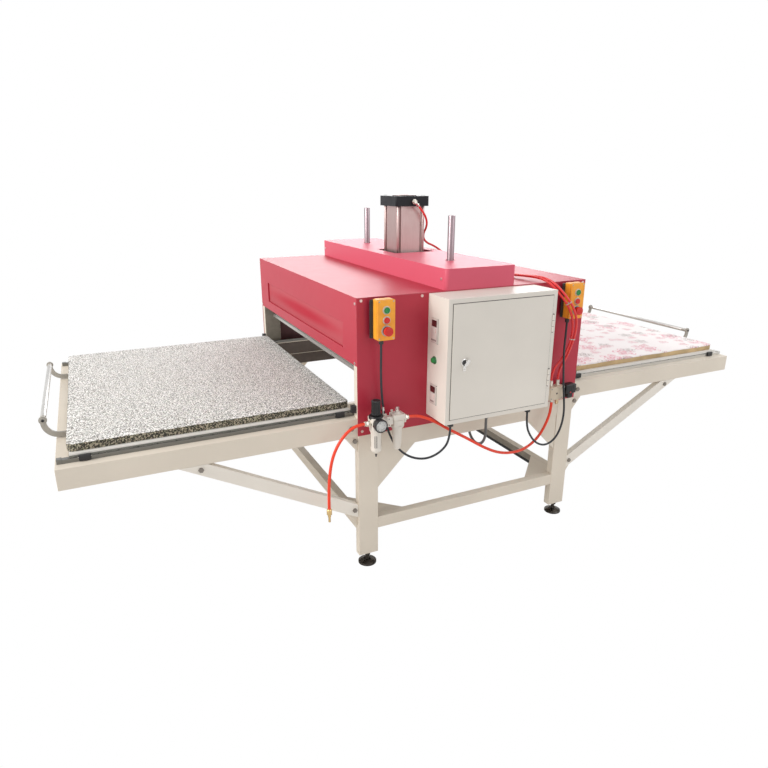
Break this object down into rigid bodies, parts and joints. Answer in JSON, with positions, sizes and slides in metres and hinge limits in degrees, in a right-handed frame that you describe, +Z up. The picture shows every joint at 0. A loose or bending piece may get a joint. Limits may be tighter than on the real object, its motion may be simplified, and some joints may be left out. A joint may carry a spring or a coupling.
{
  "type": "dual station heat press",
  "caption": "Large-format pneumatic heat press with a sliding table on each side of a central portal, control box, air unit and push-button stations.",
  "frame": {"origin": "on the floor, under the middle of the machine's outer box without its hoses and cables", "axes": "+X to the right along the tables' travel, seen from the operator's side with the control box, which faces -Y; +Z up"},
  "size_m": [3.2554, 1.5322, 1.468],
  "materials": {
    "frame_ivory": "satin powder coat, warm ivory",
    "zinc_steel": "zinc plated",
    "foot_steel": "turned steel, dull",
    "rail_steel": "ground",
    "sensor_black": "moulded, matt",
    "cover_red": "semi-gloss powder coat, crimson",
    "bushing_steel": "turned",
    "rod_chrome": "hard chrome, ground",
    "barrel_aluminium": "anodised, satin",
    "cap_black": "black, satin",
    "platen_aluminium": "cast, machined face",
    "insulation_grey": "dark fibre blanket",
    "tray_white": "satin powder coat, white",
    "left_pad_cover": "speckled grey felt",
    "right_pad_cover": "printed cotton, floral, over foam",
    "handle_paint": "satin powder coat",
    "carriage_black": "black oxide",
    "box_ivory": "satin powder coat, greige",
    "lock_chrome": "polished",
    "instrument_dark": "moulded, fine grain",
    "button_green": "gloss",
    "button_red": "gloss",
    "switch_orange": "moulded, satin",
    "air_grey": "die-cast, painted",
    "knob_black": "moulded, ribbed",
    "gauge_black": "moulded, satin",
    "needle_black": "painted black",
    "valve_silver": "die-cast",
    "fitting_white": "moulded",
    "hose_orange": "polyurethane, satin",
    "cable_dark": "matt sheath",
    "conduit_grey": "corrugated",
    "gland_black": "moulded",
    "plug_brass": "turned"
  },
  "bodies": {
    "frame": {"legs": "frame_ivory", "frame_tubes": "frame_ivory", "frame_gussets": "frame_ivory", "wing_frames": "frame_ivory", "wing_braces": "frame_ivory", "top_frame": "frame_ivory", "frame_bolts": "zinc_steel", "cover_screws": "zinc_steel", "linear_rails": "rail_steel", "table_sensors": "sensor_black", "front_cover": "cover_red", "back_cover": "cover_red", "side_covers": "cover_red", "top_cover": "cover_red", "riser_cover": "cover_red", "guide_bushings": "bushing_steel", "cylinder_barrel": "barrel_aluminium", "cylinder_cap": "cap_black", "control_box": "box_ivory", "panel_instruments": "instrument_dark", "switch_boxes": "switch_orange", "filter_lubricator": "air_grey", "pressure_gauge": "gauge_black", "air_valve": "valve_silver", "air_fittings": "fitting_white", "supply_hose": "hose_orange", "valve_hose": "hose_orange", "cylinder_hoses": "hose_orange", "left_switch_cable": "cable_dark", "right_switch_cable": "cable_dark", "heater_conduit": "conduit_grey", "cable_glands": "gland_black", "supply_plug": "plug_brass"},
    "left_table": {"left_tray": "tray_white", "left_pad": "left_pad_cover", "left_handle": "handle_paint", "left_carriages": "carriage_black"},
    "right_table": {"right_tray": "tray_white", "right_pad": "right_pad_cover", "right_handle": "handle_paint", "right_carriages": "carriage_black"},
    "press": {"heating_platen": "platen_aluminium", "insulation_board": "insulation_grey", "platen_strongback": "platen_aluminium", "press_rods": "rod_chrome"},
    "door": {"control_door": "box_ivory"},
    "lock": {"door_lock": "lock_chrome"},
    "left_start": {"left_start_button": "button_green"},
    "left_stop": {"left_stop_button": "button_red"},
    "left_estop": {"left_emergency_stop": "button_red"},
    "right_start": {"right_start_button": "button_green"},
    "right_stop": {"right_stop_button": "button_red"},
    "right_estop": {"right_emergency_stop": "button_red"},
    "power": {"power_button": "button_green"},
    "knob": {"regulator_knob": "knob_black"},
    "needle": {"gauge_needle": "needle_black"},
    "front_left_foot": {"foot_front_left": "foot_steel"},
    "front_right_foot": {"foot_front_right": "foot_steel"},
    "back_left_foot": {"foot_back_left": "foot_steel"},
    "back_right_foot": {"foot_back_right": "foot_steel"}
  },
  "joints": [
    {"name": "left_table_slide", "type": "slide", "parent": "frame", "child": "left_table", "axis": [1, 0, 0], "range_m": [0, 1.043]},
    {"name": "right_table_slide", "type": "slide", "parent": "frame", "child": "right_table", "axis": [1, 0, 0], "range_m": [-1.043, 0]},
    {"name": "press_slide", "type": "slide", "parent": "frame", "child": "press", "axis": [0, 0, 1], "range_m": [-0.102, 0]},
    {"name": "door_hinge", "type": "hinge", "parent": "frame", "child": "door", "pos_m": [0.2469, -0.75485, 0.879], "axis": [0, 0, 1], "range_deg": [0, 110]},
    {"name": "lock_turn", "type": "hinge", "parent": "door", "child": "lock", "pos_m": [-0.163, -0.75375, 0.879], "axis": [0, 1, 0], "range_deg": [0, 90]},
    {"name": "regulator_turn", "type": "hinge", "parent": "frame", "child": "knob", "pos_m": [-0.49, -0.66235, 0.72], "axis": [0, 0, -1], "range_deg": [0, 1080]},
    {"name": "needle_turn", "type": "hinge", "parent": "frame", "child": "needle", "pos_m": [-0.49, -0.70835, 0.66], "axis": [0, 1, 0], "range_deg": [0, 270]},
    {"name": "power_press", "type": "slide", "parent": "frame", "child": "power", "axis": [1, 0, 0], "range_m": [0, 0.004], "stiffness_N_per_m": 300},
    {"name": "left_start_press", "type": "slide", "parent": "frame", "child": "left_start", "axis": [0, 1, 0], "range_m": [0, 0.004], "stiffness_N_per_m": 300},
    {"name": "left_stop_press", "type": "slide", "parent": "frame", "child": "left_stop", "axis": [0, 1, 0], "range_m": [0, 0.004], "stiffness_N_per_m": 300},
    {"name": "left_estop_press", "type": "slide", "parent": "frame", "child": "left_estop", "axis": [0, 1, 0], "range_m": [0, 0.004], "stiffness_N_per_m": 600},
    {"name": "right_start_press", "type": "slide", "parent": "frame", "child": "right_start", "axis": [0, 1, 0], "range_m": [0, 0.004], "stiffness_N_per_m": 300},
    {"name": "right_stop_press", "type": "slide", "parent": "frame", "child": "right_stop", "axis": [0, 1, 0], "range_m": [0, 0.004], "stiffness_N_per_m": 300},
    {"name": "right_estop_press", "type": "slide", "parent": "frame", "child": "right_estop", "axis": [0, 1, 0], "range_m": [0, 0.004], "stiffness_N_per_m": 600},
    {"name": "front_left_foot_turn", "type": "hinge", "parent": "frame", "child": "front_left_foot", "pos_m": [-0.4955, -0.58285, 0.04], "axis": [0, 0, 1], "continuous": true},
    {"name": "front_right_foot_turn", "type": "hinge", "parent": "frame", "child": "front_right_foot", "pos_m": [0.4955, -0.58285, 0.04], "axis": [0, 0, 1], "continuous": true},
    {"name": "back_left_foot_turn", "type": "hinge", "parent": "frame", "child": "back_left_foot", "pos_m": [-0.4955, 0.72815, 0.04], "axis": [0, 0, 1], "continuous": true},
    {"name": "back_right_foot_turn", "type": "hinge", "parent": "frame", "child": "back_right_foot", "pos_m": [0.4955, 0.72815, 0.04], "axis": [0, 0, 1], "continuous": true}
  ],
  "couplings": [
    {"joint": "needle_turn", "follows": "regulator_turn", "ratio": 0.25}
  ]
}
